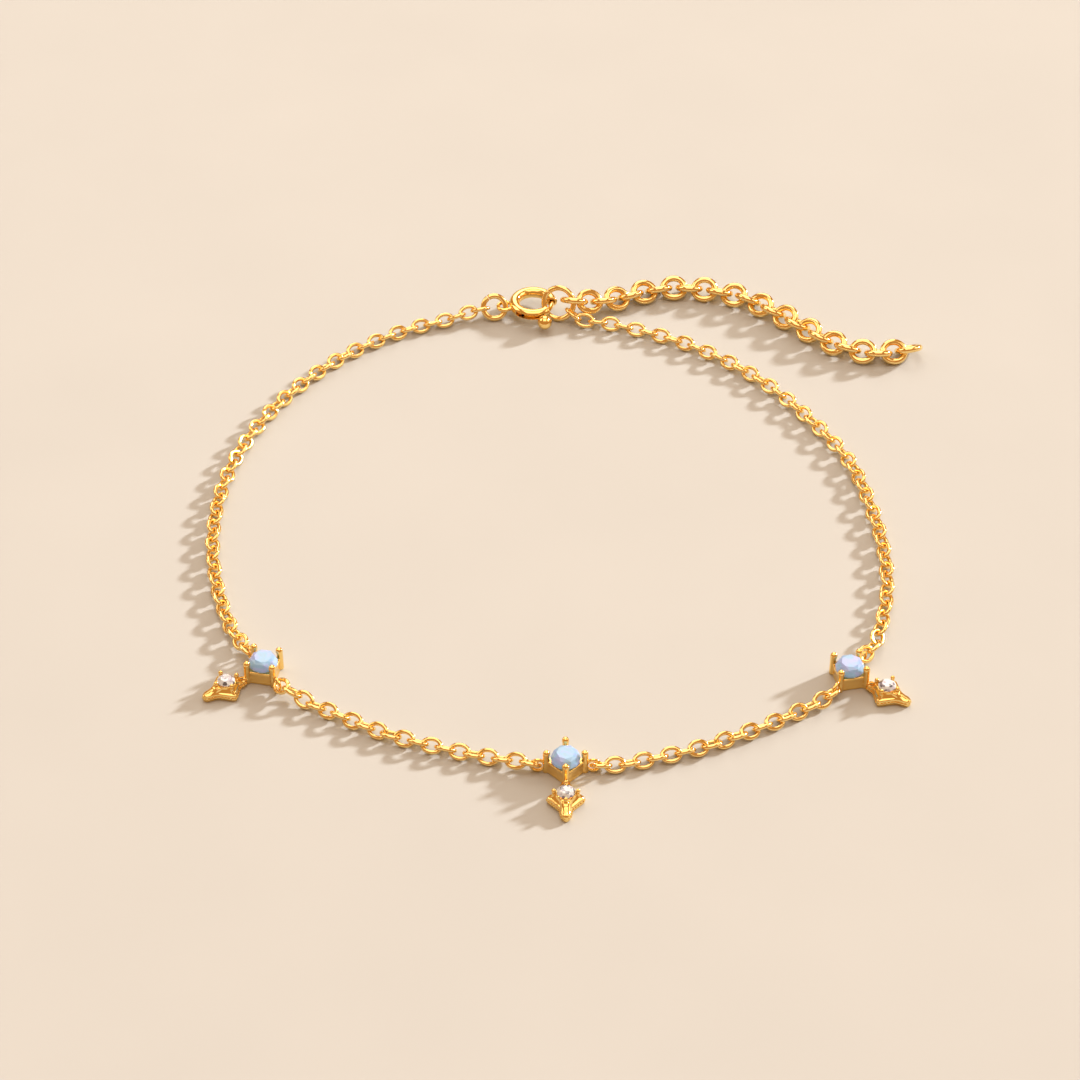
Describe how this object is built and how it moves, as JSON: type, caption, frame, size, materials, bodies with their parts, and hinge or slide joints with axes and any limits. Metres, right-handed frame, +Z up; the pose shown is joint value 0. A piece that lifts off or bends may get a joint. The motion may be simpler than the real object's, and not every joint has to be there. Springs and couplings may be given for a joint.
{
  "type": "charm bracelet",
  "caption": "Fine gold cable-chain bracelet lying in a loop, with square-set opal and star charms along its front, a spring-ring clasp and a coarser extension chain.",
  "frame": {"origin": "on the surface that the bracelet lies on, below the centre of its bounding box", "axes": "+Z up from the surface, +Y from the middle charm towards the clasp, +X to the right seen from the middle charm"},
  "size_m": [0.0597, 0.0654, 0.0028],
  "materials": {
    "gold": "polished yellow gold plating",
    "opal": "milky pale blue, polished facets",
    "clear_stone": "clear, polished brilliant cut"
  },
  "bodies": {
    "bracelet": {"charm_left": "gold", "charm_middle": "gold", "charm_right": "gold", "front_chain_left": "gold", "front_chain_right": "gold", "side_chain_left": "gold", "side_chain_right": "gold", "clasp_jump_ring": "gold", "clasp_ring": "gold", "end_ring": "gold", "extension_chain": "gold", "opal_left": "opal", "opal_middle": "opal", "opal_right": "opal", "clear_stone_left": "clear_stone", "clear_stone_middle": "clear_stone", "clear_stone_right": "clear_stone"},
    "clasp_lever": {"clasp_lever": "gold"}
  },
  "joints": [
    {"name": "clasp_lever_slide", "type": "hinge", "parent": "bracelet", "child": "clasp_lever", "pos_m": [-0.0035, 0.02942, 0.001], "axis": [0, 0, -1], "range_deg": [0, 58], "stiffness_Nm_per_rad": 0.0005}
  ]
}
